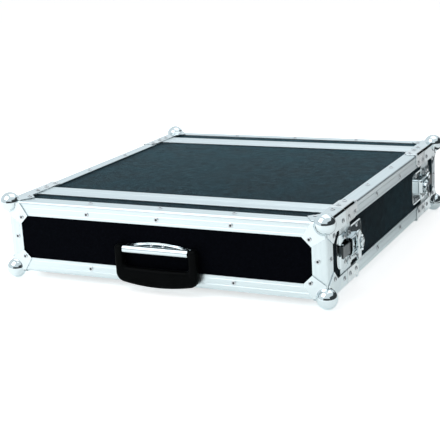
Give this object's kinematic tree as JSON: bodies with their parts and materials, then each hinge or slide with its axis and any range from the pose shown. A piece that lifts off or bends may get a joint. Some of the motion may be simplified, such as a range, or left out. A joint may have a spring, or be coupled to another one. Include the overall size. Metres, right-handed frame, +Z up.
{
  "type": "rack case",
  "caption": "Low portable rack case with black laminate panels, aluminium edge profiles, lift-off front and rear lids, ball corners, butterfly latches and a carrying handle.",
  "frame": {"origin": "on the ground under the case, midway between its four lower ball corners, which it stands on", "axes": "+Z up, -Y towards the front lid with the handle, +Y towards the rear lid, +X to the right as seen from the front"},
  "size_m": [0.5396, 0.5667, 0.1335],
  "materials": {
    "laminate": "plywood with black textured laminate",
    "aluminium": "satin extrusion",
    "zinc": "zinc plated",
    "chrome": "polished chrome plate",
    "plastic": "moulded, lightly grained"
  },
  "bodies": {
    "body": {"top_panel": "laminate", "bottom_panel": "laminate", "left_panel": "laminate", "right_panel": "laminate", "upper_left_edge_angle": "aluminium", "upper_right_edge_angle": "aluminium", "lower_left_edge_angle": "aluminium", "lower_right_edge_angle": "aluminium", "body_front_rim": "aluminium", "front_left_rack_rail": "zinc", "front_left_latch_base": "chrome", "front_upper_left_brace": "zinc", "front_lower_left_brace": "zinc", "front_right_rack_rail": "zinc", "front_right_latch_base": "chrome", "front_upper_right_brace": "zinc", "front_lower_right_brace": "zinc", "body_rear_rim": "aluminium", "rear_left_rack_rail": "zinc", "rear_left_latch_base": "chrome", "rear_upper_left_brace": "zinc", "rear_lower_left_brace": "zinc", "rear_right_rack_rail": "zinc", "rear_right_latch_base": "chrome", "rear_upper_right_brace": "zinc", "rear_lower_right_brace": "zinc"},
    "front_lid": {"front_lid_board": "laminate", "front_lid_walls": "laminate", "front_lid_edge_frame": "aluminium", "front_lid_rim": "aluminium", "front_left_latch_keeper": "chrome", "front_upper_left_ball_corner": "chrome", "front_lower_left_ball_corner": "chrome", "front_right_latch_keeper": "chrome", "front_upper_right_ball_corner": "chrome", "front_lower_right_ball_corner": "chrome", "handle_plate": "chrome"},
    "rear_lid": {"rear_lid_board": "laminate", "rear_lid_walls": "laminate", "rear_lid_edge_frame": "aluminium", "rear_lid_rim": "aluminium", "rear_left_latch_keeper": "chrome", "rear_upper_left_ball_corner": "chrome", "rear_lower_left_ball_corner": "chrome", "rear_right_latch_keeper": "chrome", "rear_upper_right_ball_corner": "chrome", "rear_lower_right_ball_corner": "chrome"},
    "handle": {"handle_grip": "plastic"},
    "front_left_latch_turn": {"front_left_latch_post": "chrome"},
    "front_left_latch_wing": {"front_left_latch_wing": "chrome"},
    "front_left_latch_claw": {"front_left_latch_claw": "chrome"},
    "front_right_latch_turn": {"front_right_latch_post": "chrome"},
    "front_right_latch_wing": {"front_right_latch_wing": "chrome"},
    "front_right_latch_claw": {"front_right_latch_claw": "chrome"},
    "rear_left_latch_turn": {"rear_left_latch_post": "chrome"},
    "rear_left_latch_wing": {"rear_left_latch_wing": "chrome"},
    "rear_left_latch_claw": {"rear_left_latch_claw": "chrome"},
    "rear_right_latch_turn": {"rear_right_latch_post": "chrome"},
    "rear_right_latch_wing": {"rear_right_latch_wing": "chrome"},
    "rear_right_latch_claw": {"rear_right_latch_claw": "chrome"}
  },
  "joints": [
    {"name": "front_lid_lift_off", "type": "slide", "parent": "body", "child": "front_lid", "axis": [0, -1, 0], "range_m": [0, 0.15]},
    {"name": "rear_lid_lift_off", "type": "slide", "parent": "body", "child": "rear_lid", "axis": [0, 1, 0], "range_m": [0, 0.15]},
    {"name": "handle_swing", "type": "hinge", "parent": "front_lid", "child": "handle", "pos_m": [0, -0.2777, 0.064], "axis": [-1, 0, 0], "range_deg": [0, 100]},
    {"name": "front_left_latch_turn_joint", "type": "hinge", "parent": "body", "child": "front_left_latch_turn", "pos_m": [-0.2648, -0.166, 0.06675], "axis": [-1, 0, 0], "range_deg": [0, 180]},
    {"name": "front_left_latch_wing_fold", "type": "hinge", "parent": "front_left_latch_turn", "child": "front_left_latch_wing", "pos_m": [-0.2673, -0.166, 0.06675], "axis": [0, 0, -1], "range_deg": [0, 90]},
    {"name": "front_left_latch_claw_draw", "type": "slide", "parent": "body", "child": "front_left_latch_claw", "axis": [0.1961, 0.9806, 0], "range_m": [0, 0.00816]},
    {"name": "front_right_latch_turn_joint", "type": "hinge", "parent": "body", "child": "front_right_latch_turn", "pos_m": [0.2648, -0.166, 0.06675], "axis": [1, 0, 0], "range_deg": [0, 180]},
    {"name": "front_right_latch_wing_fold", "type": "hinge", "parent": "front_right_latch_turn", "child": "front_right_latch_wing", "pos_m": [0.2673, -0.166, 0.06675], "axis": [0, 0, 1], "range_deg": [0, 90]},
    {"name": "front_right_latch_claw_draw", "type": "slide", "parent": "body", "child": "front_right_latch_claw", "axis": [-0.1961, 0.9806, 0], "range_m": [0, 0.00816]},
    {"name": "rear_left_latch_turn_joint", "type": "hinge", "parent": "body", "child": "rear_left_latch_turn", "pos_m": [-0.2648, 0.166, 0.06675], "axis": [-1, 0, 0], "range_deg": [0, 180]},
    {"name": "rear_left_latch_wing_fold", "type": "hinge", "parent": "rear_left_latch_turn", "child": "rear_left_latch_wing", "pos_m": [-0.2673, 0.166, 0.06675], "axis": [0, 0, 1], "range_deg": [0, 90]},
    {"name": "rear_left_latch_claw_draw", "type": "slide", "parent": "body", "child": "rear_left_latch_claw", "axis": [0.1961, -0.9806, 0], "range_m": [0, 0.00816]},
    {"name": "rear_right_latch_turn_joint", "type": "hinge", "parent": "body", "child": "rear_right_latch_turn", "pos_m": [0.2648, 0.166, 0.06675], "axis": [1, 0, 0], "range_deg": [0, 180]},
    {"name": "rear_right_latch_wing_fold", "type": "hinge", "parent": "rear_right_latch_turn", "child": "rear_right_latch_wing", "pos_m": [0.2673, 0.166, 0.06675], "axis": [0, 0, -1], "range_deg": [0, 90]},
    {"name": "rear_right_latch_claw_draw", "type": "slide", "parent": "body", "child": "rear_right_latch_claw", "axis": [-0.1961, -0.9806, 0], "range_m": [0, 0.00816]}
  ],
  "couplings": [
    {"joint": "front_left_latch_claw_draw", "follows": "front_left_latch_turn_joint", "m_per_rad": 0.0025969},
    {"joint": "front_right_latch_claw_draw", "follows": "front_right_latch_turn_joint", "m_per_rad": 0.0025969},
    {"joint": "rear_left_latch_claw_draw", "follows": "rear_left_latch_turn_joint", "m_per_rad": 0.0025969},
    {"joint": "rear_right_latch_claw_draw", "follows": "rear_right_latch_turn_joint", "m_per_rad": 0.0025969}
  ]
}
